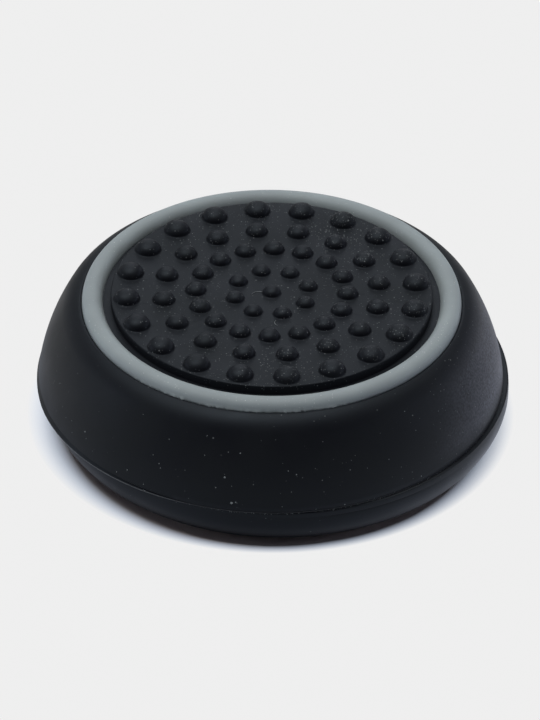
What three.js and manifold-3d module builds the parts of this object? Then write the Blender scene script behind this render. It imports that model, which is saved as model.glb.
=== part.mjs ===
// Thumb grip for a game controller's stick: a soft cap that stretches over the stick's round head.
// A black silicone moulding has a hollow underside with an inward lip, and a dished pad of raised dots.
// A grey silicone ring is bonded into a seat round the pad.
// Millimetres, +Z up. The origin is where the cap's own axis meets the surface that it stands on.
import * as THREE from "three";
import { mergeVertices } from "three/addons/utils/BufferGeometryUtils.js";
import Module from "manifold-3d";

// Skirt: the tall tapered side, from the narrow hem at its foot up to the seam with the ring
const skirtRadius = 11.21; // where it meets the hem
const hemRadius = 11.31;
const hemThickness = 0.2;
const partingHeight = 2.0; // where the mould halves met, under the hem
const seamHeight = 6.42;
const shoulderWidth = 0.93; // from the seam out to the start of the shoulder
const shoulderDrop = 0.62;
const skirtBow = 0.17; // how far the side bulges past a straight cone
const shoulderBow = 0.1;
const skirtLean = 0.03; // the skirt's foot stands this far towards -X, the shoulder not at all

// Rim: the short band under the skirt, made by the other mould half
const rimRadius = 11.22;
const landWidth = 0.22; // the slope between the rim's edge and the parting
const landRise = 0.16;
const landGap = 0.02; // the slope's inner end below the parting
const rimShift = 0.31; // the halves met this far out of line, so the rim stands towards +X
const footRound = 1.5; // radius of the rounded foot
const edgeRound = 0.06; // small radius on the rim's edge and the hem

// Ring: the grey band in the top
const ringRadius = 9.1;
const ringWidth = 1.05;
const ringDepth = 0.52; // below the seam
const ringRise = 0.48; // crest above the seam
const crestInset = 0.4; // crest in from the ring's outer edge
const ringInnerDrop = 0.4; // crest down to the inner edge
const ringInnerFlank = 0.25; // width over which the inner flank falls away

// Pad: the dished disc inside the ring, behind a narrow groove
const grooveWidth = 0.35;
const grooveDepth = 0.44; // below the pad's edge
const padRise = 0.44; // pad's edge above the seam
const dishDepth = 0.1;
const padEdgeRound = 0.08;

// Dots: rows of low domes, from the outer row inwards; inset is from the row before, or from the pad's edge
const dotRows = [
  { inset: 0.75, count: 20, diameter: 1.25, height: 0.43, turn: -6.2 },
  { inset: 1.755, count: 16, diameter: 1.06, height: 0.38, turn: -8.4 },
  { inset: 1.56, count: 16, diameter: 1.0, height: 0.36, turn: 1.5 },
  { inset: 1.81, count: 8, diameter: 0.87, height: 0.32, turn: -16.5 },
];
const centreDot = { diameter: 0.87, height: 0.32 };
const dotRoot = 0.25; // how far each dome runs down into the pad

// Socket: the hollow that grips the stick's head
const topWall = 1.38; // web under the middle of the pad
const socketRadius = 9.3;
const socketRound = 0.6;
const mouthRadius = 7.6;
const lipHeight = 1.2;
const lipRound = 0.3;
const cutClearance = 1; // how far the cut starts below the base

// Smoothness of the turned forms
const segments = 60;
const dotSegments = 12;
const edgeSteps = 2; // along a small rounded edge or the shallow dish
const curveSteps = 4; // along a long curve
const capSteps = 2; // from the foot of a dome to its top

// Heights and radii that follow from the sizes above
const padRadius = ringRadius - ringWidth - grooveWidth;
const landHeight = partingHeight - landGap;
const rimEdgeHeight = landHeight - landRise;
const hemHeight = partingHeight + hemThickness;
const shoulderHeight = seamHeight - shoulderDrop;
const padEdgeHeight = seamHeight + padRise;
const dishHeight = padEdgeHeight - dishDepth;
const grooveHeight = padEdgeHeight - grooveDepth;
const seatHeight = seamHeight - ringDepth;
const ringInnerRadius = ringRadius - ringWidth;
const crestHeight = seamHeight + ringRise;
const ceilingHeight = dishHeight - topWall;

const point = (radius, height) => new THREE.Vector2(radius, height);

// A rounded bend that leaves one point and reaches another, tangent to the lines through a corner.
function bend(from, corner, to, steps) {
  return new THREE.QuadraticBezierCurve(from, corner, to).getPoints(steps);
}

// A long curve from one point up to another that swells outwards by the given amount.
function bowed(from, to, amount, steps) {
  const chord = to.clone().sub(from);
  const outward = point(chord.y, -chord.x).normalize();
  const pull = from.clone().lerp(to, 0.5).addScaledVector(outward, 2 * amount);
  return bend(from, pull, to, steps);
}

// A profile of radius and height turned round the vertical axis.
function turned(profile, steps) {
  const outline = profile.filter((p, i) => i === 0 || !p.equals(profile[i - 1]));
  const geometry = new THREE.LatheGeometry(outline, steps);
  geometry.rotateX(Math.PI / 2);
  return geometry;
}

const wasm = await Module();
wasm.setup();

// A closed geometry as a solid that can be joined and cut.
function solidOf(geometry) {
  const bare = geometry.clone();
  bare.deleteAttribute("normal");
  bare.deleteAttribute("uv");
  const merged = mergeVertices(bare);
  return new wasm.Manifold(
    new wasm.Mesh({
      numProp: 3,
      vertProperties: merged.attributes.position.array,
      triVerts: merged.index.array,
    }),
  );
}

function geometryOf(solid) {
  const mesh = solid.getMesh();
  const geometry = new THREE.BufferGeometry();
  geometry.setAttribute("position", new THREE.BufferAttribute(mesh.vertProperties, mesh.numProp));
  geometry.setIndex(new THREE.BufferAttribute(mesh.triVerts, 1));
  geometry.computeVertexNormals();
  return geometry;
}

// Outer form in one turn: rim, hem, skirt, shoulder, ring seat, groove and dished pad.
function outerForm() {
  const footMiddle = point(rimRadius - footRound, footRound);
  const foot = new THREE.EllipseCurve(footMiddle.x, footMiddle.y, footRound, footRound, -Math.PI / 2, 0);
  const rimSide = point(rimRadius, rimEdgeHeight - edgeRound);
  const rimTop = point(rimRadius - edgeRound, rimEdgeHeight + edgeRound / 2);
  const hemUnder = point(hemRadius - edgeRound, partingHeight);
  const hemLow = point(hemRadius, partingHeight + edgeRound);
  const hemHigh = point(hemRadius, hemHeight - edgeRound);
  const hemTop = point(hemRadius - edgeRound, hemHeight);
  const shoulderStart = point(ringRadius + shoulderWidth, shoulderHeight);
  const seam = point(ringRadius, seamHeight);
  const padSide = point(padRadius, padEdgeHeight - padEdgeRound);
  const padTop = point(padRadius - padEdgeRound, padEdgeHeight);
  return turned(
    [
      point(0, 0),
      ...foot.getPoints(curveSteps),
      ...bend(rimSide, point(rimRadius, rimEdgeHeight), rimTop, edgeSteps),
      point(rimRadius - landWidth, landHeight),
      ...bend(hemUnder, point(hemRadius, partingHeight), hemLow, edgeSteps),
      ...bend(hemHigh, point(hemRadius, hemHeight), hemTop, edgeSteps),
      ...bowed(point(skirtRadius, hemHeight), shoulderStart, skirtBow, curveSteps),
      ...bowed(shoulderStart, seam, shoulderBow, curveSteps),
      point(ringRadius, seatHeight),
      point(ringInnerRadius, seatHeight),
      point(ringInnerRadius, grooveHeight),
      point(padRadius, grooveHeight),
      ...bend(padSide, point(padRadius, padEdgeHeight), padTop, edgeSteps),
      ...bend(padTop, point(padTop.x / 2, dishHeight), point(0, dishHeight), edgeSteps),
    ],
    segments,
  );
}

// Below the parting the rim stands off towards +X; above it the skirt leans slightly the other way.
function offsetHalves(geometry) {
  const places = geometry.getAttribute("position");
  const split = partingHeight - landGap / 2;
  for (let i = 0; i < places.count; i++) {
    const height = places.getZ(i);
    const rise = Math.min(1, (height - partingHeight) / (shoulderHeight - partingHeight));
    const move = height < split ? rimShift : -skirtLean * (1 - rise);
    places.setX(i, places.getX(i) + move);
  }
  return geometry;
}

// The hollow, cut right through the base: a mouth with rounded lips below a wider chamber.
function socket() {
  const below = -cutClearance;
  return turned(
    [
      point(0, below),
      point(mouthRadius + lipRound, below),
      ...bend(
        point(mouthRadius + lipRound, 0),
        point(mouthRadius, 0),
        point(mouthRadius, lipRound),
        edgeSteps,
      ),
      ...bend(
        point(mouthRadius, lipHeight - lipRound),
        point(mouthRadius, lipHeight),
        point(mouthRadius + lipRound, lipHeight),
        edgeSteps,
      ),
      point(socketRadius, lipHeight),
      ...bend(
        point(socketRadius, ceilingHeight - socketRound),
        point(socketRadius, ceilingHeight),
        point(socketRadius - socketRound, ceilingHeight),
        edgeSteps,
      ),
      point(0, ceilingHeight),
    ],
    segments,
  );
}

// Height of the dished pad at a distance from the axis.
function padHeightAt(radius) {
  return dishHeight + dishDepth * (radius / padRadius) ** 2;
}

// One low dome on a short root, standing at a place on the pad.
function dome({ diameter, height }, radius, angle) {
  const half = diameter / 2;
  const cap = Array.from({ length: capSteps + 1 }, (_, i) => {
    const lean = (Math.PI / 2) * (1 - i / capSteps);
    return point(half * Math.sin(lean), height * Math.cos(lean));
  });
  const geometry = turned([point(0, -dotRoot), point(half, -dotRoot), ...cap], dotSegments);
  geometry.translate(radius * Math.sin(angle), radius * Math.cos(angle), padHeightAt(radius));
  return solidOf(geometry);
}

function dots() {
  const solids = [dome(centreDot, 0, 0)];
  let rowRadius = padRadius;
  for (const row of dotRows) {
    rowRadius -= row.inset;
    for (let i = 0; i < row.count; i++) {
      const angle = THREE.MathUtils.degToRad(row.turn + (360 * i) / row.count);
      solids.push(dome(row, rowRadius, angle));
    }
  }
  return solids;
}

function capBody() {
  const moulding = solidOf(offsetHalves(outerForm())).subtract(solidOf(socket()));
  return geometryOf(dots().reduce((body, dot) => body.add(dot), moulding));
}

// The ring's rounded top over a square root that fills its seat.
function accentRing() {
  const root = point(ringInnerRadius, seatHeight);
  const crest = point(ringRadius - crestInset, crestHeight);
  const inner = point(ringInnerRadius, crestHeight - ringInnerDrop);
  return turned(
    [
      root,
      point(ringRadius, seatHeight),
      ...bend(point(ringRadius, seamHeight), point(ringRadius, crestHeight), crest, curveSteps),
      ...bend(crest, point(ringInnerRadius + ringInnerFlank, crestHeight), inner, curveSteps),
      root.clone(),
    ],
    segments,
  );
}

const blackSilicone = new THREE.MeshStandardMaterial({
  name: "black silicone",
  color: 0x24272b,
  roughness: 0.62,
  metalness: 0,
});
const greySilicone = new THREE.MeshStandardMaterial({
  name: "grey silicone",
  color: 0x8a9496,
  roughness: 0.55,
  metalness: 0,
});

function part(name, geometry, material) {
  const mesh = new THREE.Mesh(geometry, material);
  mesh.name = name;
  return mesh;
}

const thumbGrip = new THREE.Group();
thumbGrip.name = "thumb grip";
thumbGrip.add(part("cap_body", capBody(), blackSilicone));
thumbGrip.add(part("accent_ring", accentRing(), greySilicone));

export default thumbGrip;
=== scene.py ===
import math
import random

import bpy
from mathutils import Euler, Matrix, Vector


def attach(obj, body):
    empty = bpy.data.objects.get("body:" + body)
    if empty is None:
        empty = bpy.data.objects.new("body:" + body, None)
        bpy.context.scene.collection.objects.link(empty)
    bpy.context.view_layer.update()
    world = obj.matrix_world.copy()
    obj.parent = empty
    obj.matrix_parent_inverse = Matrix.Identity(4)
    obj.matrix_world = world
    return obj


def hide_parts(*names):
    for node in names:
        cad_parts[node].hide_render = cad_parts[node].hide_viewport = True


mm = 0.001  # sizes below are in millimetres, turns in degrees from +X towards +Y

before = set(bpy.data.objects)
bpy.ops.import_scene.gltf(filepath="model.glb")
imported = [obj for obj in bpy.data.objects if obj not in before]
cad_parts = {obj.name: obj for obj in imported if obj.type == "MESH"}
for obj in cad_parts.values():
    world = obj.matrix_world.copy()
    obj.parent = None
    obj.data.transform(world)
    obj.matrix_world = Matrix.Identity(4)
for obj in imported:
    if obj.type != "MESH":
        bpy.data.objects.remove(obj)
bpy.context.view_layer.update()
print("frame loaded:", sorted(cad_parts))


# Small helpers for working as by hand

def clearSelection():
    if bpy.context.object and bpy.context.object.mode != "OBJECT":
        bpy.ops.object.mode_set(mode="OBJECT")
    bpy.ops.object.select_all(action="DESELECT")


def pick(piece):
    clearSelection()
    piece.select_set(True)
    bpy.context.view_layer.objects.active = piece


def copyOf(master):
    copy = master.copy()
    copy.data = master.data.copy()
    bpy.context.scene.collection.objects.link(copy)
    return copy


def joinPieces(pieces):
    clearSelection()
    for piece in pieces:
        piece.select_set(True)
    bpy.context.view_layer.objects.active = pieces[0]
    bpy.ops.object.join()
    bpy.ops.object.transform_apply(location=True, rotation=True, scale=True)
    return bpy.context.object


def weldPoints(distance):
    bpy.ops.mesh.select_all(action="SELECT")
    bpy.ops.mesh.remove_doubles(threshold=distance * mm)


def point(radius, height):
    return Vector((radius, height))


def bend(start, corner, end, steps):
    # rounded bend between two points, tangent to the lines through the corner
    found = []
    for i in range(steps + 1):
        t = i / steps
        found.append(start * (1 - t) ** 2 + corner * (2 * t * (1 - t)) + end * t ** 2)
    return found


def bowed(start, end, amount, steps):
    # long curve that swells to the right of its direction by the given amount
    chord = end - start
    outward = Vector((chord.y, -chord.x)).normalized()
    return bend(start, (start + end) / 2 + outward * 2 * amount, end, steps)


def turnProfile(name, profile, steps):
    # a single vertex is extruded along the profile and spun round the upright axis
    outline = [p for i, p in enumerate(profile) if i == 0 or (p - profile[i - 1]).length > 1e-6]
    clearSelection()
    bpy.ops.mesh.primitive_plane_add(size=mm, location=(0, 0, 0))
    piece = bpy.context.object
    piece.name = name
    piece.data.name = name
    bpy.ops.object.mode_set(mode="EDIT")
    bpy.ops.mesh.select_all(action="SELECT")
    bpy.ops.mesh.merge(type="CENTER")
    here = point(0, 0)
    for i, p in enumerate(outline):
        move = (0, (here.x - p.x) * mm, (p.y - here.y) * mm)  # the profile lies towards -Y
        if i == 0:
            bpy.ops.transform.translate(value=move)
        else:
            bpy.ops.mesh.extrude_vertices_move(TRANSFORM_OT_translate={"value": move})
        here = p
    bpy.ops.mesh.select_all(action="SELECT")
    bpy.ops.mesh.spin(steps=steps, angle=2 * math.pi, center=(0, 0, 0), axis=(0, 0, 1))
    weldPoints(distance=0.001)
    bpy.ops.mesh.normals_make_consistent(inside=False)
    bpy.ops.object.mode_set(mode="OBJECT")
    return piece


# Ragged and fading edges of the moulding

def makeWaves(seed, count, slowest, fastest):
    # waves round the part, each with its pace, its start in radians and its size; their sum is ragged
    chance = random.Random(seed)
    return [
        (chance.uniform(slowest, fastest), chance.uniform(0, 6.3), chance.uniform(0.3, 1))
        for i in range(count)
    ]


def raggedAt(waves, turn):
    return sum(size * math.sin(math.radians(turn) * pace + start) for pace, start, size in waves)


def turnOf(vertex):
    return math.degrees(math.atan2(vertex.co.y, vertex.co.x)) % 360


def moveOut(vertex, radius, amount):
    vertex.co.x *= 1 + amount / radius
    vertex.co.y *= 1 + amount / radius


def alongArc(turn, arc):
    # 1 along an arc, 0 outside it, with a fade at both ends
    return max(0, min(1, (turn - arc["from"]) / arc["fade"], (arc["to"] - turn) / arc["fade"]))


# Camera first, at the photograph's viewing angle

camera = {
    "elevation": 35.97,
    "roll": 0.62,
    "distance": 181.8,
    "aim": (-0.05, 1.52, 1.69),
    "lens": 185.65,
    "sensor": 36,
    "clip": (0.01, 20),  # metres
}


def makeCamera():
    data = bpy.data.cameras.new("camera")
    data.lens = camera["lens"]
    data.sensor_width = camera["sensor"]
    data.clip_start, data.clip_end = camera["clip"]
    eye = bpy.data.objects.new("camera", data)
    bpy.context.scene.collection.objects.link(eye)
    turn = Euler((math.radians(90 - camera["elevation"]), 0, 0)).to_matrix()
    turn = turn @ Matrix.Rotation(math.radians(camera["roll"]), 3, "Z")
    back = turn @ Vector((0, 0, 1))
    eye.rotation_euler = turn.to_euler()
    eye.location = (Vector(camera["aim"]) + back * camera["distance"]) * mm
    bpy.context.scene.camera = eye


makeCamera()
print("camera placed")


# Black moulding: socket, lower rim, skirt, shoulder, ring seat, groove and dished pad

cap = {
    # lower rim, made by one mould half: rounded foot, side, and a land up to the parting
    "rimRadius": 11.22,
    "rimShift": 0.33,  # the halves met this far out of line
    "footRound": 1.5,
    "footNarrow": 0.02,  # share by which the foot is narrower along X where it stands
    "footSteps": 16,
    "landHeight": 0.3,
    "landRadius": 11.2,
    "landRound": 0.09,
    "landCrease": {"from": 262, "to": 328, "fade": 20, "depth": 0.012},
    "landSink": {"half": 0.04, "crease": 0.006, "above": 0.008},  # the crease all the way round
    "landLean": {"from": 284, "to": 352, "fade": 20, "most": -0.035},  # its top leans in on this arc
    # parting between the mould halves
    "partingHeight": 2.2,
    "partingGap": 0.045,
    "partingDepth": 0.36,
    # skirt and shoulder, made by the other half; its crease is deepest where the flash hangs by fullAt
    "skirtRadius": 11.27,
    "skirtBow": 0.17,
    "skirtWall": {"inset": 0.01, "rise": 0.11},  # where the long side starts, from the lower edge
    "skirtCrease": {"rise": 0.02, "everywhere": 0.03, "byFlash": 0.04, "fullAt": 0.5},
    "skirtFlash": {"from": 140, "full": 195, "to": 252, "drop": 0.22, "reach": 0.1, "ragged": 0.03125},
    "edgeRound": 0.04,
    "edgeRise": 0.6,  # height of the edge's rounding as a share of its width
    "undersideFall": 0.01,
    "shoulderWidth": 0.93,
    "shoulderDrop": 0.62,
    "shoulderBow": 0.1,
    "seamHeight": 6.42,
    "seamRound": 0.09,
    # top
    "seatDepth": 0.52,
    "ringRadius": 9.09,
    "ringWidth": 1.02,
    "grooveWidth": 0.37,
    "grooveDepth": 0.44,
    "padRise": 0.44,
    "dishDepth": 0.1,
    "padRound": 0.07,
    # socket
    "topWall": 1.38,
    "socketRadius": 9.3,
    "socketRound": 0.6,
    "mouthRadius": 7.6,
    "lipHeight": 1.2,
    "lipRound": 0.3,
    "steps": 240,
    "weld": 0.006,
    "smoothAngle": 38,
}
cap["padRadius"] = cap["ringRadius"] - cap["ringWidth"] - cap["grooveWidth"]
cap["padHeight"] = cap["seamHeight"] + cap["padRise"]
cap["dishHeight"] = cap["padHeight"] - cap["dishDepth"]
cap["shoulderHeight"] = cap["seamHeight"] - cap["shoulderDrop"]
cap["landTop"] = cap["partingHeight"] - cap["partingGap"] / 2
cap["creaseHeight"] = cap["landTop"] - cap["landHeight"]
cap["skirtLow"] = cap["partingHeight"] + cap["partingGap"] / 2
cap["skirtCreaseHeight"] = cap["skirtLow"] + cap["edgeRound"] + cap["skirtCrease"]["rise"]

# How near a vertex lies to a form that it belongs to
nearby = {
    "socket": 0.1,
    "landLow": 0.05,
    "landIn": 0.1,
    "landCrease": 0.01,
    "skirtCrease": 0.005,
    "skirtEdge": 0.045,
}


def socketProfile():
    ceiling = cap["dishHeight"] - cap["topWall"]
    chamber = cap["socketRadius"]
    corner = cap["socketRound"]
    mouth = cap["mouthRadius"]
    top = cap["lipHeight"]
    lip = cap["lipRound"]
    bendAt = point(chamber, ceiling)
    return [
        point(0, ceiling),
        point((chamber - corner) / 2, ceiling),
        *bend(point(chamber - corner, ceiling), bendAt, point(chamber, ceiling - corner), steps=6),
        point(chamber, top),
        *bend(point(mouth + lip, top), point(mouth, top), point(mouth, top - lip), steps=5),
        *bend(point(mouth, lip), point(mouth, 0), point(mouth + lip, 0), steps=5),
    ]


def rimProfile():
    # rounded foot, upright side with a faint crease, and the flat top of the land
    rim = cap["rimRadius"]
    curve = cap["footRound"]
    soft = cap["landRound"]
    top = cap["landTop"]
    land = cap["landRadius"]
    crease = cap["creaseHeight"]
    sink = cap["landSink"]
    foot = []
    for i in range(cap["footSteps"] + 1):
        turn = math.pi / 2 * i / cap["footSteps"]
        foot.append(point(rim - curve + curve * math.sin(turn), curve - curve * math.cos(turn)))
    return [
        *foot,
        point(rim, crease - sink["half"]),
        point(rim - sink["crease"], crease),
        point(rim - sink["above"], crease + sink["half"]),
        *bend(point(land, top - soft), point(land, top), point(land - soft, top), steps=5),
        point(land - cap["partingDepth"], top),
    ]


def skirtProfile():
    # underside of the lower edge, then the long side and the shoulder
    low = cap["skirtLow"]
    soft = cap["edgeRound"]
    edge = cap["skirtRadius"]
    outer = cap["ringRadius"]
    wall = point(edge - cap["skirtWall"]["inset"], low + cap["skirtWall"]["rise"])
    shoulder = point(outer + cap["shoulderWidth"], cap["shoulderHeight"])
    seam = point(outer + cap["seamRound"], cap["seamHeight"])
    seamLow = point(outer, cap["seamHeight"] - cap["seamRound"])
    return [
        point(cap["landRadius"] - cap["partingDepth"], low - cap["undersideFall"]),
        *bend(point(edge - soft, low), point(edge, low), point(edge, low + soft * cap["edgeRise"]), steps=4),
        point(edge - cap["skirtCrease"]["everywhere"], cap["skirtCreaseHeight"]),
        wall,
        *bowed(wall, shoulder, cap["skirtBow"], steps=18),
        *bowed(shoulder, seam, cap["shoulderBow"], steps=10),
        *bend(seam, point(outer, cap["seamHeight"]), seamLow, steps=3),
    ]


def topProfile():
    # the ring's seat, the groove and the dished pad
    seat = cap["seamHeight"] - cap["seatDepth"]
    inner = cap["ringRadius"] - cap["ringWidth"]
    groove = cap["padHeight"] - cap["grooveDepth"]
    pad = cap["padRadius"]
    high = cap["padHeight"]
    dish = cap["dishHeight"]
    soft = cap["padRound"]
    return [
        point(cap["ringRadius"], seat),
        point(inner, seat),
        point(inner, groove),
        point(pad, groove),
        *bend(point(pad, high - soft), point(pad, high), point(pad - soft, high), steps=4),
        *bend(point(pad - soft, high), point(pad / 2, dish), point(0, dish), steps=8),
    ]


def flashHang(turn):
    # 1 where the skirt's flash hangs lowest, 0 at both ends of it
    flash = cap["skirtFlash"]
    growing = (turn - flash["from"]) / (flash["full"] - flash["from"])
    fading = (flash["to"] - turn) / (flash["to"] - flash["full"])
    return max(0, min(growing, fading, 1))


def offsetMouldHalves(body):
    # the halves met out of line: the rim stands off towards +X, and flash hangs from the skirt on the left
    parting = cap["partingHeight"]
    crease = cap["creaseHeight"]
    skirtCrease = cap["skirtCreaseHeight"]
    flash = cap["skirtFlash"]
    waves = makeWaves(seed=8, count=8, slowest=15, fastest=120)
    for v in body.data.vertices:
        radius = math.hypot(v.co.x, v.co.y) / mm
        height = v.co.z / mm
        if radius < cap["socketRadius"] + nearby["socket"]:
            continue
        turn = turnOf(v)
        hang = flashHang(turn)
        onLand = parting - cap["partingGap"] > height > crease + nearby["landLow"]
        onEdge = parting < height < skirtCrease
        grow = 0
        if onLand and radius > cap["landRadius"] - nearby["landIn"]:
            share = min(1, (height - crease) / (cap["landHeight"] - cap["landRound"]))
            grow = cap["landLean"]["most"] * share * alongArc(turn, cap["landLean"])
        elif abs(height - crease) < nearby["landCrease"]:
            grow = -cap["landCrease"]["depth"] * alongArc(turn, cap["landCrease"])
        elif abs(height - skirtCrease) < nearby["skirtCrease"]:
            grow = -cap["skirtCrease"]["byFlash"] * min(1, hang / cap["skirtCrease"]["fullAt"])
        elif onEdge and radius > cap["skirtRadius"] - nearby["skirtEdge"]:
            v.co.z -= hang * (1 + raggedAt(waves, turn) * flash["ragged"]) * flash["drop"] * mm
            grow = hang * flash["reach"]
        moveOut(v, radius, grow)
        if height < parting:
            v.co.x *= 1 - cap["footNarrow"] * max(0, 1 - height / cap["footRound"])
            v.co.x += cap["rimShift"] * mm


# Raised dots, from the outer row inwards; inset is from the row before, or from the pad's edge

dots = {
    "rows": [
        {"inset": 0.75, "count": 20, "diameter": 1.25, "height": 0.43, "turn": -6.15},
        {"inset": 1.755, "count": 16, "diameter": 1.06, "height": 0.38, "turn": -8.42},
        {"inset": 1.56, "count": 16, "diameter": 1.0, "height": 0.36, "turn": 1.46},
        {"inset": 1.81, "count": 8, "diameter": 0.87, "height": 0.32, "turn": -16.47},
        {"inset": 1.825, "count": 1, "diameter": 0.87, "height": 0.32, "turn": 0},
    ],
    "steep": 0.89,  # share of the way down to upright at which the crown ends
    "fullness": 2.3,  # 2 for a plain ball, more for a squarer one
    "crownSteps": 9,
    "fillet": 0.05,
    "filletInset": 0.01,
    "step": 0.004,  # edge of the flare above the pad
    "root": 0.2,  # down into the pad
    "steps": 24,
}


def dotProfile(row):
    # half of a flattened ball, whose foot flares into the pad
    half = row["diameter"] / 2
    height = row["height"]
    power = 2 / dots["fullness"]
    crown = []
    for i in range(dots["crownSteps"] + 1):
        lean = math.pi / 2 * dots["steep"] * i / dots["crownSteps"]
        crown.append(point(half * math.sin(lean) ** power, height * math.cos(lean) ** power))
    corner = point(crown[-1].x + dots["filletInset"], dots["step"])
    foot = point(corner.x + dots["fillet"], dots["step"])
    flare = bend(crown[-1], corner, foot, steps=5)
    base = [point(0, -dots["root"]), point(foot.x, -dots["root"])]
    return [*base, *reversed(flare), *reversed(crown)]


def padHeightAt(radius):
    return cap["dishHeight"] + cap["dishDepth"] * (radius / cap["padRadius"]) ** 2


def makeDots():
    # one dot for each row, copied round it and leaning with the dish
    placed = []
    rowRadius = cap["padRadius"]
    for number, row in enumerate(dots["rows"]):
        rowRadius = max(0, rowRadius - row["inset"])
        master = turnProfile("dot%d" % number, dotProfile(row), dots["steps"])
        lean = math.atan(2 * cap["dishDepth"] * rowRadius / cap["padRadius"] ** 2)
        for i in range(row["count"]):
            turn = math.radians(row["turn"] + 360 * i / row["count"])
            place = (rowRadius * math.sin(turn), rowRadius * math.cos(turn), padHeightAt(rowRadius))
            copy = copyOf(master)
            copy.rotation_euler = Euler((lean, 0, -turn))
            copy.location = Vector(place) * mm
            placed.append(copy)
        bpy.data.objects.remove(master)
    return joinPieces(placed)


def makeCap():
    profile = [*socketProfile(), *rimProfile(), *skirtProfile(), *topProfile()]
    body = turnProfile("capMoulding", profile, cap["steps"])
    offsetMouldHalves(body)
    raised = makeDots()
    pick(body)
    joinUp = body.modifiers.new("dots", "BOOLEAN")
    joinUp.operation = "UNION"
    joinUp.solver = "MANIFOLD"
    joinUp.object = raised
    bpy.ops.object.modifier_apply(modifier=joinUp.name)
    bpy.data.objects.remove(raised)
    bpy.ops.object.mode_set(mode="EDIT")
    weldPoints(cap["weld"])
    bpy.ops.object.mode_set(mode="OBJECT")
    bpy.ops.object.shade_smooth_by_angle(angle=math.radians(cap["smoothAngle"]))
    return body


# Grey ring, bonded into its seat

ring = {
    "crestRise": 0.455,
    "crestInset": 0.47,
    "outerLean": 0.02,
    "innerFlank": 0.14,
    "innerDrop": 0.46,
    "edgeDrop": 0.05,
    # thin flash over the seam, on part of the near side
    "flash": {"from": 222, "to": 300, "fade": 12, "reach": 0.05, "rise": 0.015},
    "flashShare": {"mean": 0.35, "ragged": 1 / 3},  # of its reach
    "flashZone": {"inset": 0.012, "drop": 0.05},  # from the ring's radius and the seam
    "steps": 720,
    "smoothAngle": 50,
}


def ringProfile():
    outer = cap["ringRadius"]
    inner = outer - cap["ringWidth"]
    seat = cap["seamHeight"] - cap["seatDepth"]
    crest = point(outer - ring["crestInset"], cap["seamHeight"] + ring["crestRise"])
    edge = point(outer, cap["seamHeight"] - ring["edgeDrop"])
    foot = point(inner, crest.y - ring["innerDrop"])
    return [
        point(inner, seat),
        point(outer, seat),
        edge,
        *bend(edge, point(outer - ring["outerLean"], crest.y), crest, steps=12),
        *bend(crest, point(inner + ring["innerFlank"], crest.y), foot, steps=12),
        point(inner, seat),
    ]


def makeRing():
    band = turnProfile("accentBand", ringProfile(), ring["steps"])
    flash = ring["flash"]
    share = ring["flashShare"]
    zone = ring["flashZone"]
    waves = makeWaves(seed=5, count=14, slowest=20, fastest=400)
    for v in band.data.vertices:
        radius = math.hypot(v.co.x, v.co.y) / mm
        height = v.co.z / mm - cap["seamHeight"]
        if radius < cap["ringRadius"] - zone["inset"] or height < -zone["drop"]:
            continue
        turn = turnOf(v)
        taper = alongArc(turn, flash)
        if taper == 0:
            continue
        rough = max(0, share["mean"] + raggedAt(waves, turn) * share["ragged"])
        moveOut(v, radius, rough * taper * flash["reach"])
        v.co.z += flash["rise"] * taper * mm
    pick(band)
    bpy.ops.object.shade_smooth_by_angle(angle=math.radians(ring["smoothAngle"]))
    return band


body = makeCap()
print("cap moulded:", len(body.data.polygons), "faces")
band = makeRing()
print("ring made:", len(band.data.polygons), "faces")


# Lint: flecks on the skirt, crumbs along the parting and a few short fibres on the pad

lint = {
    # turn, height and radius of each fleck
    "flecks": [
        (261, 2.66, 0.062), (233.5, 2.9, 0.042), (259, 3.86, 0.045), (262.5, 5.0, 0.032), (276.5, 4.1, 0.036),
        (274.5, 4.28, 0.03), (243.5, 5.0, 0.034), (218, 3.44, 0.036), (242, 3.8, 0.034), (242.5, 3.62, 0.03),
        (230.5, 2.54, 0.03), (288, 2.36, 0.032), (337.5, 3.92, 0.03), (262, 2.72, 0.03), (238.5, 2.54, 0.034),
        (253.5, 4.7, 0.028), (240, 4.1, 0.028), (332.5, 3.86, 0.028), (331.5, 4.64, 0.026), (257, 3.32, 0.03),
        (253.5, 5.54, 0.026), (212, 3.38, 0.026), (295.5, 2.33, 0.026), (309, 2.54, 0.03),
        (234.5, 5.6, 0.024), (325, 3.32, 0.024), (202, 4.22, 0.024), (301, 2.3, 0.022),
        (281, 2.34, 0.024), (308, 5.7, 0.024),
    ],
    "crumbs": {"count": 150, "from": 238, "to": 334, "rise": 0.01, "scatter": 0.02},
    "crumbSize": {"least": 0.008, "most": 0.022, "power": 3},  # a higher power leaves fewer large ones
    "thickness": 0.35,
    "uneven": (0.6, 1.3),  # least and most stretch
    "tip": 0.4,  # radians
    "lean": 70,
    "colour": (0.2, 0.22, 0.225),
    "roughness": 0.9,
    "gloss": 0.2,
    "fibres": [
        {"middle": (-0.7, -0.05), "length": 0.6, "turn": 20, "bow": 0.12},
        {"middle": (0.25, -2.5), "length": 0.45, "turn": 100, "bow": 0.1},
        {"middle": (-5.2, -1.1), "length": 0.7, "turn": -35, "bow": 0.16},
        {"middle": (-3.5, 6.5), "length": 0.4, "turn": 60, "bow": 0.08},
    ],
    "fibreThickness": 0.011,
    "fibreSteps": 8,
}


def sideRadiusAt(height):
    # radius of the skirt or shoulder at a height
    side = [p for p in skirtProfile() if p.x > cap["ringRadius"]]
    for low, high in zip(side[1:], side[2:]):
        if low.y <= height <= high.y:
            return low.x + (high.x - low.x) * (height - low.y) / max(high.y - low.y, 0.001)
    return cap["skirtRadius"]


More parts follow.
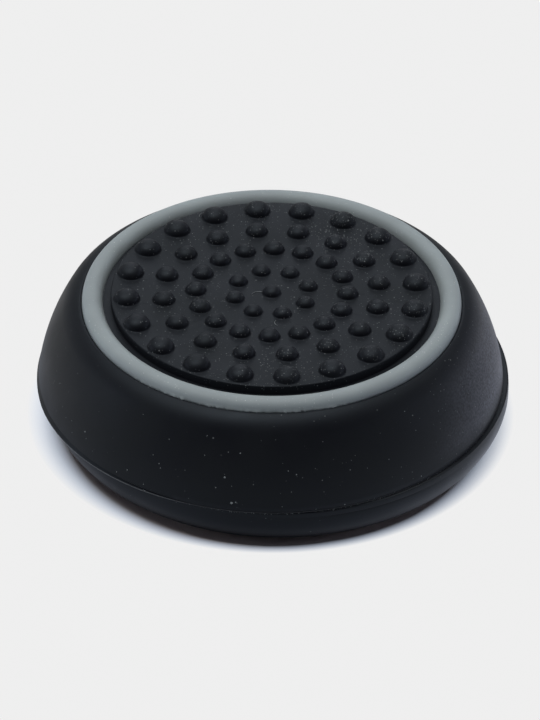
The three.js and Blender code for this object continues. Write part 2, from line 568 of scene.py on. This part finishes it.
def flecksAndCrumbs(chance):
    # turn, radius, height and size of each
    spots = [(turn, sideRadiusAt(height), height, size) for turn, height, size in lint["flecks"]]
    crumbs = lint["crumbs"]
    sizes = lint["crumbSize"]
    for i in range(crumbs["count"]):
        size = sizes["least"] + (sizes["most"] - sizes["least"]) * chance.random() ** sizes["power"]
        height = cap["partingHeight"] + crumbs["rise"] + chance.gauss(0, crumbs["scatter"])
        spots.append((chance.uniform(crumbs["from"], crumbs["to"]), cap["skirtRadius"], height, size))
    return spots


def makeFibre(name, fibre):
    # thin bowed tube that lies on the pad
    curve = bpy.data.curves.new(name, "CURVE")
    curve.dimensions = "3D"
    curve.bevel_depth = lint["fibreThickness"] * mm
    curve.bevel_resolution = 1
    spline = curve.splines.new("POLY")
    spline.points.add(lint["fibreSteps"])
    angle = math.radians(fibre["turn"])
    for i, knot in enumerate(spline.points):
        share = i / lint["fibreSteps"] - 0.5
        along = share * fibre["length"]
        aside = fibre["bow"] * (1 - 4 * share * share)
        x = fibre["middle"][0] + along * math.cos(angle) - aside * math.sin(angle)
        y = fibre["middle"][1] + along * math.sin(angle) + aside * math.cos(angle)
        height = padHeightAt(math.hypot(x, y)) + lint["fibreThickness"]
        knot.co = (x * mm, y * mm, height * mm, 1)
    strand = bpy.data.objects.new(name, curve)
    bpy.context.scene.collection.objects.link(strand)
    pick(strand)
    bpy.ops.object.convert(target="MESH")
    return bpy.context.object


def makeLint():
    # one flat fleck copied to every place, and the fibres
    chance = random.Random(21)
    clearSelection()
    bpy.ops.mesh.primitive_ico_sphere_add(subdivisions=1, radius=mm)
    master = bpy.context.object
    placed = []
    for turn, radius, height, size in flecksAndCrumbs(chance):
        angle = math.radians(turn)
        copy = copyOf(master)
        copy.location = Vector((radius * math.cos(angle), radius * math.sin(angle), height)) * mm
        tip = chance.uniform(-lint["tip"], lint["tip"])
        copy.rotation_euler = Euler((tip, math.radians(lint["lean"]), angle))
        wide = size * chance.uniform(*lint["uneven"])
        long = size * chance.uniform(*lint["uneven"])
        copy.scale = (wide, long, size * lint["thickness"])
        placed.append(copy)
    bpy.data.objects.remove(master)
    for number, fibre in enumerate(lint["fibres"]):
        placed.append(makeFibre("fibre%d" % number, fibre))
    return joinPieces(placed)


specks = makeLint()
print("lint laid:", len(specks.data.polygons), "faces")


# Materials

def newMaterial(name):
    material = bpy.data.materials.new(name)
    material.use_nodes = True
    tree = material.node_tree
    tree.nodes.clear()
    out = tree.nodes.new("ShaderNodeOutputMaterial")
    shader = tree.nodes.new("ShaderNodeBsdfPrincipled")
    tree.links.new(shader.outputs["BSDF"], out.inputs["Surface"])
    return material, tree, shader


def newGroup(name, inputs, outputs):
    group = bpy.data.node_groups.new(name, "ShaderNodeTree")
    for label, kind, value in inputs:
        made = group.interface.new_socket(name=label, in_out="INPUT", socket_type=kind)
        made.default_value = value
    for label, kind in outputs:
        group.interface.new_socket(name=label, in_out="OUTPUT", socket_type=kind)
    return group, group.nodes.new("NodeGroupInput"), group.nodes.new("NodeGroupOutput")


def placeGroup(tree, group, coordinates, **values):
    node = tree.nodes.new("ShaderNodeGroup")
    node.node_tree = group
    tree.links.new(coordinates, node.inputs["Vector"])
    for label, value in values.items():
        node.inputs[label.replace("_", " ")].default_value = value
    return node


def setInputs(node, values):
    for label, value in values.items():
        node.inputs[label].default_value = value


def mathNode(tree, operation, first, second=None, clamp=False):
    node = tree.nodes.new("ShaderNodeMath")
    node.operation = operation
    node.use_clamp = clamp
    for i, value in enumerate((first, second)):
        if value is None:
            continue
        if isinstance(value, (int, float)):
            node.inputs[i].default_value = value
        else:
            tree.links.new(value, node.inputs[i])
    return node.outputs[0]


def chain(tree, operation, first, *others):
    # one operation carried through several values in turn
    for value in others:
        first = mathNode(tree, operation, first, value)
    return first


def ramp(tree, value, low, high, first, last):
    node = tree.nodes.new("ShaderNodeMapRange")
    setInputs(node, {"From Min": low, "From Max": high, "To Min": first, "To Max": last})
    tree.links.new(value, node.inputs["Value"])
    return node.outputs[0]


def rampAlong(tree, value, span):
    # a span is its start and end in mm, then the value at each of them
    low, high, first, last = span
    return ramp(tree, value, low * mm, high * mm, first, last)


def mixColour(tree, factor, first, second):
    node = tree.nodes.new("ShaderNodeMix")
    node.data_type = "RGBA"
    tree.links.new(factor, node.inputs["Factor"])
    for label, value in (("A", first), ("B", second)):
        socket = [s for s in node.inputs if s.name == label and s.type == "RGBA"][0]
        if isinstance(value, tuple):
            socket.default_value = (*value, 1)
        else:
            tree.links.new(value, socket)
    return [s for s in node.outputs if s.type == "RGBA"][0]


def placeInPart(tree):
    # the part's own coordinates, whole and as the outputs X, Y and Z
    coordinates = tree.nodes.new("ShaderNodeTexCoord").outputs["Object"]
    split = tree.nodes.new("ShaderNodeSeparateXYZ")
    tree.links.new(coordinates, split.inputs[0])
    return coordinates, split.outputs


# Dust, as specks in three sizes

dust = {
    # scale is in cells per metre, share is of the cells that hold a speck, size is of a cell
    "sizes": [
        {"scale": 12000, "share": 0.26, "size": 0.32},
        {"scale": 6500, "share": 0.1, "size": 0.22},
        {"scale": 1900, "share": 0.03, "size": 0.08},
    ],
    "smallest": 0.4,  # share of its size
    "faintest": 0.3,
    "edge": 2.0,  # the higher, the harder a speck's edge
    "roughens": 0.3,
    # drifts that come and go over the surface: cloudiness from and to, then how thick there
    "driftScale": 230,
    "drift": (0.42, 0.62, 0.55, 1.5),
    # spans, for rampAlong: on top by height, on the flank by X and height, and all over by X
    "top": (6.55, 6.75, 0.06, 1.0),
    "flank": (5, 9, 0, 0.22),
    "flankHeight": (3.0, 4.5, 0.1, 1),
    "side": (-7, 7, 0.6, 1.35),
    # more on the dots towards +X
    "dotTops": (6.98, 7.1, 0, 1),
    "dotSide": (-1, 5, 0, 1.5),
}


def makeSpeckGroup():
    # one size of dust: cells of a Voronoi pattern, of which a few hold a speck
    group, given, out = newGroup(
        "dustSpecks",
        [
            ("Vector", "NodeSocketVector", (0, 0, 0)),
            ("Scale", "NodeSocketFloat", 3000),
            ("Share", "NodeSocketFloat", 0.2),
            ("Size", "NodeSocketFloat", 0.2),
        ],
        [("Mask", "NodeSocketFloat")],
    )
    cells = group.nodes.new("ShaderNodeTexVoronoi")
    cells.feature = "F1"
    group.links.new(given.outputs["Vector"], cells.inputs["Vector"])
    group.links.new(given.outputs["Scale"], cells.inputs["Scale"])
    split = group.nodes.new("ShaderNodeSeparateColor")
    group.links.new(cells.outputs["Color"], split.inputs["Color"])
    first, second, third = split.outputs[0], split.outputs[1], split.outputs[2]
    chosen = mathNode(group, "LESS_THAN", first, given.outputs["Share"])
    radius = mathNode(group, "ADD", second, dust["smallest"])
    radius = mathNode(group, "MULTIPLY", given.outputs["Size"], radius)
    inside = mathNode(group, "DIVIDE", cells.outputs["Distance"], radius)
    near = mathNode(group, "SUBTRACT", 1.0, inside, clamp=True)
    near = mathNode(group, "MULTIPLY", near, dust["edge"], clamp=True)
    strength = mathNode(group, "MULTIPLY", third, 1 - dust["faintest"])
    strength = mathNode(group, "ADD", strength, dust["faintest"])
    group.links.new(chain(group, "MULTIPLY", near, strength, chosen), out.inputs["Mask"])
    return group


def makeGrainGroup():
    # fine matt texture of the mould's face, as a height, with a slow cloudiness for sheen and colour
    group, given, out = newGroup(
        "mouldGrain",
        [
            ("Vector", "NodeSocketVector", (0, 0, 0)),
            ("Fine scale", "NodeSocketFloat", 16000),
            ("Cloud scale", "NodeSocketFloat", 400),
        ],
        [("Height", "NodeSocketFloat"), ("Cloud", "NodeSocketFloat")],
    )
    for scale, detail, label in (("Fine scale", 3, "Height"), ("Cloud scale", 4, "Cloud")):
        noise = group.nodes.new("ShaderNodeTexNoise")
        noise.inputs["Detail"].default_value = detail
        group.links.new(given.outputs["Vector"], noise.inputs["Vector"])
        group.links.new(given.outputs[scale], noise.inputs["Scale"])
        group.links.new(noise.outputs[0], out.inputs[label])
    return group


speckGroup = makeSpeckGroup()
grainGroup = makeGrainGroup()


def dustMask(tree, coordinates, along, amount):
    # where dust lies, then specks of each size, as many as that allows
    x, height = along["X"], along["Z"]
    drift = placeGroup(tree, grainGroup, coordinates, Cloud_scale=dust["driftScale"]).outputs["Cloud"]
    flank = rampAlong(tree, x, dust["flank"])
    flank = mathNode(tree, "MULTIPLY", flank, rampAlong(tree, height, dust["flankHeight"]))
    spread = mathNode(tree, "MAXIMUM", rampAlong(tree, height, dust["top"]), flank)
    spread = mathNode(tree, "MULTIPLY", spread, rampAlong(tree, x, dust["side"]))
    spread = mathNode(tree, "MULTIPLY", spread, ramp(tree, drift, *dust["drift"]))
    dotTops = rampAlong(tree, height, dust["dotTops"])
    dotTops = mathNode(tree, "MULTIPLY", dotTops, rampAlong(tree, x, dust["dotSide"]))
    spread = mathNode(tree, "MULTIPLY", spread, mathNode(tree, "ADD", 1.0, dotTops))
    masks = []
    for layer in dust["sizes"]:
        placed = placeGroup(tree, speckGroup, coordinates, Scale=layer["scale"], Size=layer["size"])
        tree.links.new(mathNode(tree, "MULTIPLY", spread, layer["share"] * amount), placed.inputs["Share"])
        masks.append(placed.outputs["Mask"])
    return chain(tree, "MAXIMUM", *masks)


# Bluish film and painted sheen on the flank, fine and grainy: a paler colour that is partly a film and partly
# stands in for the sheen towards its edges

filmAndPaintedSheen = {
    # by X: on the right, and a little at the far left; the power draws it towards the edges, where the
    # painted sheen lies
    "right": (6.9, 11.5, 0, 1),
    "left": (-11.3, -9.8, 0.3, 0),
    "power": 2.0,
    # by height: between the parting and the shoulder
    "below": (5.4, 6.3, 1, 0),
    "above": (2.3, 3.1, 0, 1),
    # its grain: cloudiness from and to, then how strong there
    "grainScale": 9000,
    "grain": (0.36, 0.68, 0.55, 1.6),
}


def filmAndPaintedSheenMask(tree, coordinates, along):
    x, height = along["X"], along["Z"]
    flank = mathNode(tree, "MAXIMUM", rampAlong(tree, x, filmAndPaintedSheen["right"]), rampAlong(tree, x, filmAndPaintedSheen["left"]))
    band = rampAlong(tree, height, filmAndPaintedSheen["below"])
    band = mathNode(tree, "MULTIPLY", band, rampAlong(tree, height, filmAndPaintedSheen["above"]))
    there = mathNode(tree, "MULTIPLY", mathNode(tree, "POWER", flank, filmAndPaintedSheen["power"]), band)
    fine = placeGroup(tree, grainGroup, coordinates, Cloud_scale=filmAndPaintedSheen["grainScale"]).outputs["Cloud"]
    return mathNode(tree, "MULTIPLY", there, ramp(tree, fine, *filmAndPaintedSheen["grain"]), clamp=True)


# Painted highlight: a pale line along the skirt's lower edge and the flash that hangs from it, where they
# catch the light

paintedFlashHighlight = {
    # the edge's height, which climbs as the flash gets shorter; turns in radians
    "edge": {"turns": (-2.88, -1.885), "heights": (2.0, 2.22)},
    "lower": (-0.06, -0.04, 0, 1),  # from that height
    "upper": (0.03, 0.065, 1, 0),
    # where it starts and ends: by turn in radians, X, Y and the distance from the axis
    "start": (-2.85, -2.65, 0, 1),
    "end": (-2.1, -1.9, 1, 0.4),
    "right": (6, 9, 1, 0),
    "far": (-2, 0, 1, 0),
    "outside": (11.2, 11.24, 0, 1),
}


def paintedFlashHighlightMask(tree, along):
    x, y = along["X"], along["Y"]
    turn = mathNode(tree, "ARCTAN2", y, x)
    low, high = paintedFlashHighlight["edge"]["heights"]
    edge = ramp(tree, turn, *paintedFlashHighlight["edge"]["turns"], low * mm, high * mm)
    above = mathNode(tree, "SUBTRACT", along["Z"], edge)
    squares = [mathNode(tree, "POWER", value, 2.0) for value in (x, y)]
    radius = mathNode(tree, "SQRT", mathNode(tree, "ADD", *squares))
    return chain(
        tree,
        "MULTIPLY",
        rampAlong(tree, above, paintedFlashHighlight["lower"]),
        rampAlong(tree, above, paintedFlashHighlight["upper"]),
        ramp(tree, turn, *paintedFlashHighlight["start"]),
        ramp(tree, turn, *paintedFlashHighlight["end"]),
        rampAlong(tree, x, paintedFlashHighlight["right"]),
        rampAlong(tree, y, paintedFlashHighlight["far"]),
        rampAlong(tree, radius, paintedFlashHighlight["outside"]),
    )


# Silicone, in the looks of the two shots

silicone = {
    "black": {
        "colour": (0.0036, 0.0038, 0.0052),
        "worn": (0.005, 0.0055, 0.0062),
        "roughness": (0.5, 0.6),
        "sheen": (0.74, 0.88, 1.0),
        "dust": (0.15, 0.16, 0.163),
        "dustAmount": 1.0,
        # film, and painted sheen towards the flank's edges
        "filmAndPaintedSheen": (0.1, 0.104, 0.13),
        # painted highlight along the skirt's lower edge and flash
        "paintedFlashHighlight": (0.09, 0.095, 0.1),
    },
    "grey": {
        "colour": (0.262, 0.298, 0.305),
        "worn": (0.235, 0.265, 0.272),
        "roughness": (0.5, 0.6),
        "sheen": (0.95, 0.98, 1.0),
        "dust": (0.42, 0.45, 0.45),
        "dustAmount": 0.5,
    },
    "paintedGlow": (0.0014, 0.0015, 0.0021),  # painted glow: both put out a faint light that lifts their darks
    # cloudiness at which the worn colour and the greater roughness start and are full
    "wornClouds": (0.35, 0.7, 0, 1),
    "roughClouds": (0.3, 0.7),
    "rimPolish": (2.25, 2.35, 0.08, 0),  # by height: the rim is less rough
    "grainDepth": 0.004,
    "grainStrength": 0.6,
    "ior": 1.265,
}


def makeSilicone(name, look):
    material, tree, shader = newMaterial(name)
    coordinates, along = placeInPart(tree)
    grain = placeGroup(tree, grainGroup, coordinates)
    cloud = grain.outputs["Cloud"]
    dusty = dustMask(tree, coordinates, along, look["dustAmount"])
    base = mixColour(tree, ramp(tree, cloud, *silicone["wornClouds"]), look["colour"], look["worn"])
    if "filmAndPaintedSheen" in look:
        # paler colour on the flank: a film, and painted sheen towards its edges
        base = mixColour(tree, filmAndPaintedSheenMask(tree, coordinates, along), base, look["filmAndPaintedSheen"])
    if "paintedFlashHighlight" in look:
        # painted highlight along the skirt's lower edge and its flash
        base = mixColour(tree, paintedFlashHighlightMask(tree, along), base, look["paintedFlashHighlight"])
    tree.links.new(mixColour(tree, dusty, base, look["dust"]), shader.inputs["Base Color"])
    rough = ramp(tree, cloud, *silicone["roughClouds"], *look["roughness"])
    rough = mathNode(tree, "SUBTRACT", rough, rampAlong(tree, along["Z"], silicone["rimPolish"]))
    rough = mathNode(tree, "ADD", rough, mathNode(tree, "MULTIPLY", dusty, dust["roughens"]), clamp=True)
    tree.links.new(rough, shader.inputs["Roughness"])
    # the emission is a faint painted glow that lifts the darks
    setInputs(shader, {
        "IOR": silicone["ior"],
        "Specular Tint": (*look["sheen"], 1),
        "Emission Color": (*silicone["paintedGlow"], 1),
        "Emission Strength": 1.0,
    })
    bump = tree.nodes.new("ShaderNodeBump")
    setInputs(bump, {"Distance": silicone["grainDepth"] * mm, "Strength": silicone["grainStrength"]})
    tree.links.new(grain.outputs["Height"], bump.inputs["Height"])
    tree.links.new(bump.outputs["Normal"], shader.inputs["Normal"])
    return material


blackSilicone = makeSilicone("blackSilicone", silicone["black"])
greySilicone = makeSilicone("greySilicone", silicone["grey"])


def makeLintMaterial():
    material, tree, shader = newMaterial("lint")
    setInputs(shader, {
        "Base Color": (*lint["colour"], 1),
        "Roughness": lint["roughness"],
        "Specular IOR Level": lint["gloss"],
    })
    return material


def dress(piece, material, node):
    piece.data.materials.clear()
    piece.data.materials.append(material)
    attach(piece, "root")
    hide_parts(node)


dress(body, blackSilicone, "cap_body")
dress(band, greySilicone, "accent_ring")
specks.data.materials.clear()
specks.data.materials.append(makeLintMaterial())
specks.name = "lint"
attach(specks, "root")
print("pieces dressed")


# Floor, lamps and background

stage = {
    "floorSize": 3.0,  # metres
    "floorColour": (0.82, 0.86, 0.93),
    "background": (0.861, 0.861, 0.861),
    # the contact shadow is full inside its core and gone at its edge, both ovals: a painted shadow, where the
    # floor is painted darker in the core and the real shadow fades through a painted fringe into the even
    # colour
    "shadowCore": {"middle": (0.06, 0.0), "size": (10.3, 10.86)},
    "shadowEdge": {"middle": (0.0, 0.0), "size": (11.9, 11.42)},
    # the painted shadow's outline reaches a little further at this turn
    "shadowReach": {"turn": -43, "full": 9, "none": 32, "most": 0.015},  # a little further this way
    # painted shade: the floor's darker, browner colour in the shadow's core, fading out over shadowFloorFade
    "shadowFloor": (0.55, 0.48, 0.47),
    "shadowFloorFade": 0.06,  # share of the core's size
    # painted shadow fringe: the bluish, darker colour the camera sees where the shadow gives way to the even
    # colour
    "shadowFringe": (0.68, 0.77, 0.92),
    "fringeSpan": (0.25, 1.0),  # share of the way from the core to the edge
    # painted reflection: the glow that the rim mirrors of the floor is tinted, dull by the middle, brighter
    # with the square of the way from it, up to the most, which is a span along X; and near the part only,
    # from and to this radius
    "mirroredTint": (0.77, 0.82, 0.95),
    "mirrored": {"least": 0.58, "rise": 0.0085, "middle": -0.8, "most": (-2, 2, 0.93, 1.7)},
    "mirroredReach": (13.5, 17),
}


def ovalDistance(tree, coordinates, oval):
    # distance from an oval's middle, 1 on its outline
    placed = tree.nodes.new("ShaderNodeVectorMath")
    placed.operation = "SUBTRACT"
    tree.links.new(coordinates, placed.inputs[0])
    placed.inputs[1].default_value = (oval["middle"][0] * mm, oval["middle"][1] * mm, 0)
    scaled = tree.nodes.new("ShaderNodeVectorMath")
    scaled.operation = "DIVIDE"
    tree.links.new(placed.outputs["Vector"], scaled.inputs[0])
    scaled.inputs[1].default_value = (oval["size"][0] * mm, oval["size"][1] * mm, 1)
    away = tree.nodes.new("ShaderNodeVectorMath")
    away.operation = "LENGTH"
    tree.links.new(scaled.outputs["Vector"], away.inputs[0])
    return away.outputs["Value"]


def shadowDistances(tree, coordinates, along):
    # distance past the painted shadow's core, and the share of the way from there to its edge
    reach = stage["shadowReach"]
    turn = mathNode(tree, "ARCTAN2", along["Y"], along["X"])
    aside = mathNode(tree, "ABSOLUTE", mathNode(tree, "SUBTRACT", turn, math.radians(reach["turn"])))
    further = ramp(tree, aside, math.radians(reach["full"]), math.radians(reach["none"]), reach["most"], 0)
    core = mathNode(tree, "SUBTRACT", ovalDistance(tree, coordinates, stage["shadowCore"]), further)
    past = mathNode(tree, "SUBTRACT", core, 1.0, clamp=True)
    left = mathNode(tree, "SUBTRACT", 1.0, ovalDistance(tree, coordinates, stage["shadowEdge"]), clamp=True)
    return past, mathNode(tree, "DIVIDE", past, mathNode(tree, "ADD", past, left), clamp=True)


def mirroredStrength(tree, x, near):
    # painted reflection: in the rim the floor mirrors duller in front, where the camera stood, than at the
    # sides
    mirrored = stage["mirrored"]
    offMiddle = mathNode(tree, "SUBTRACT", mathNode(tree, "DIVIDE", x, mm), mirrored["middle"])
    squared = mathNode(tree, "POWER", mathNode(tree, "ABSOLUTE", offMiddle), 2.0)
    bright = mathNode(tree, "MULTIPLY_ADD", squared, mirrored["rise"])
    bright.node.inputs[2].default_value = mirrored["least"]
    bright = mathNode(tree, "MINIMUM", bright, rampAlong(tree, x, mirrored["most"]))
    change = mathNode(tree, "MULTIPLY", mathNode(tree, "SUBTRACT", bright, 1.0), near)
    return mathNode(tree, "ADD", 1.0, change)


def makeFloor():
    # a plain pale sheet; away from the part the camera sees its even colour, near it the real shadow stays,
    # with painted shade in its core, a painted shadow fringe round it and a painted reflection for glossy
    # rays
    clearSelection()
    bpy.ops.mesh.primitive_plane_add(size=stage["floorSize"], location=(0, 0, 0))
    floor = bpy.context.object
    floor.name = "floor"
    material, tree, shader = newMaterial("paleFloor")
    setInputs(shader, {"Roughness": 1.0, "Specular IOR Level": 0.0})
    coordinates, along = placeInPart(tree)
    past, even = shadowDistances(tree, coordinates, along)
    # painted shade: the floor's colour darkens and browns in the shadow's core
    lit = ramp(tree, past, 0.0, stage["shadowFloorFade"], 0, 1)
    colour = mixColour(tree, lit, stage["shadowFloor"], stage["floorColour"])
    tree.links.new(colour, shader.inputs["Base Color"])
    path = tree.nodes.new("ShaderNodeLightPath")
    seen = mathNode(tree, "MAXIMUM", path.outputs["Is Camera Ray"], path.outputs["Is Glossy Ray"])
    # painted shadow fringe: the even colour turns bluish and darker towards the core
    clear = ramp(tree, even, *stage["fringeSpan"], 0, 1)
    tinted = mixColour(tree, clear, stage["shadowFringe"], stage["background"])
    # painted reflection: near the part, glossy rays see the floor's glow tinted, and duller or brighter by
    # place
    away = ovalDistance(tree, coordinates, {"middle": (0, 0), "size": (1, 1)})
    near = ramp(tree, away, *stage["mirroredReach"], 1, 0)
    near = mathNode(tree, "MULTIPLY", near, path.outputs["Is Glossy Ray"])
    glow = tree.nodes.new("ShaderNodeEmission")
    tree.links.new(mixColour(tree, near, tinted, stage["mirroredTint"]), glow.inputs["Color"])
    tree.links.new(mirroredStrength(tree, along["X"], near), glow.inputs["Strength"])
    mix = tree.nodes.new("ShaderNodeMixShader")
    tree.links.new(mathNode(tree, "MULTIPLY", even, seen), mix.inputs[0])
    tree.links.new(shader.outputs["BSDF"], mix.inputs[1])
    tree.links.new(glow.outputs["Emission"], mix.inputs[2])
    output = [n for n in tree.nodes if n.type == "OUTPUT_MATERIAL"][0]
    tree.links.new(mix.outputs[0], output.inputs["Surface"])
    floor.data.materials.append(material)


# Soft boxes far away: turn is the side that one shines from, tilt is how far it stands from overhead

lamps = {
    "boxAngle": 28,
    "ambient": 0.01,
    "boxes": [
        {"name": "topBack", "turn": 90, "tilt": 17, "strength": 0.46, "colour": (1, 1, 1)},
        {"name": "topLeft", "turn": 180, "tilt": 17, "strength": 0.38, "colour": (1, 1, 1)},
        {"name": "topRight", "turn": 0, "tilt": 17, "strength": 0.03, "colour": (1, 1, 1)},
        {"name": "backLeft", "turn": 135, "tilt": 38, "strength": 0.043, "colour": (0.96, 1.0, 1.04)},
        {"name": "back", "turn": 90, "tilt": 60, "strength": 0.115, "colour": (0.94, 0.99, 1.07)},
        {"name": "lowRight", "turn": 0, "tilt": 79, "strength": 0.135, "colour": (0.92, 0.96, 1.15)},
        {"name": "lowBackRight", "turn": 45, "tilt": 79, "strength": 0.08, "colour": (0.92, 0.97, 1.15)},
        {"name": "lowBack", "turn": 90, "tilt": 79, "strength": 0.04, "colour": (0.93, 0.99, 1.08)},
        {"name": "lowBackLeft", "turn": 135, "tilt": 79, "strength": 0.045, "colour": (0.93, 0.99, 1.08)},
        {"name": "lowLeft", "turn": 180, "tilt": 79, "strength": 0.155, "colour": (0.92, 0.97, 1.1)},
    ],
}


def makeWorld():
    # the camera sees the background's colour, and the part is lit by an even, much darker one
    world = bpy.data.worlds.new("studio")
    bpy.context.scene.world = world
    world.use_nodes = True
    tree = world.node_tree
    tree.nodes.clear()
    out = tree.nodes.new("ShaderNodeOutputWorld")
    lit = tree.nodes.new("ShaderNodeBackground")
    setInputs(lit, {"Color": (1, 1, 1, 1), "Strength": lamps["ambient"]})
    seen = tree.nodes.new("ShaderNodeBackground")
    setInputs(seen, {"Color": (*stage["background"], 1), "Strength": 1})
    mix = tree.nodes.new("ShaderNodeMixShader")
    path = tree.nodes.new("ShaderNodeLightPath")
    tree.links.new(path.outputs["Is Camera Ray"], mix.inputs["Fac"])
    tree.links.new(lit.outputs[0], mix.inputs[1])
    tree.links.new(seen.outputs[0], mix.inputs[2])
    tree.links.new(mix.outputs[0], out.inputs["Surface"])


def makeLamps():
    for box in lamps["boxes"]:
        data = bpy.data.lights.new(box["name"], "SUN")
        data.energy = box["strength"] * math.pi
        data.angle = math.radians(lamps["boxAngle"])
        data.color = box["colour"]
        lamp = bpy.data.objects.new(box["name"], data)
        bpy.context.scene.collection.objects.link(lamp)
        lamp.rotation_euler = (0, math.radians(box["tilt"]), math.radians(box["turn"]))


makeFloor()
makeWorld()
makeLamps()
bpy.context.scene.view_settings.view_transform = "Standard"
print("stage lit")
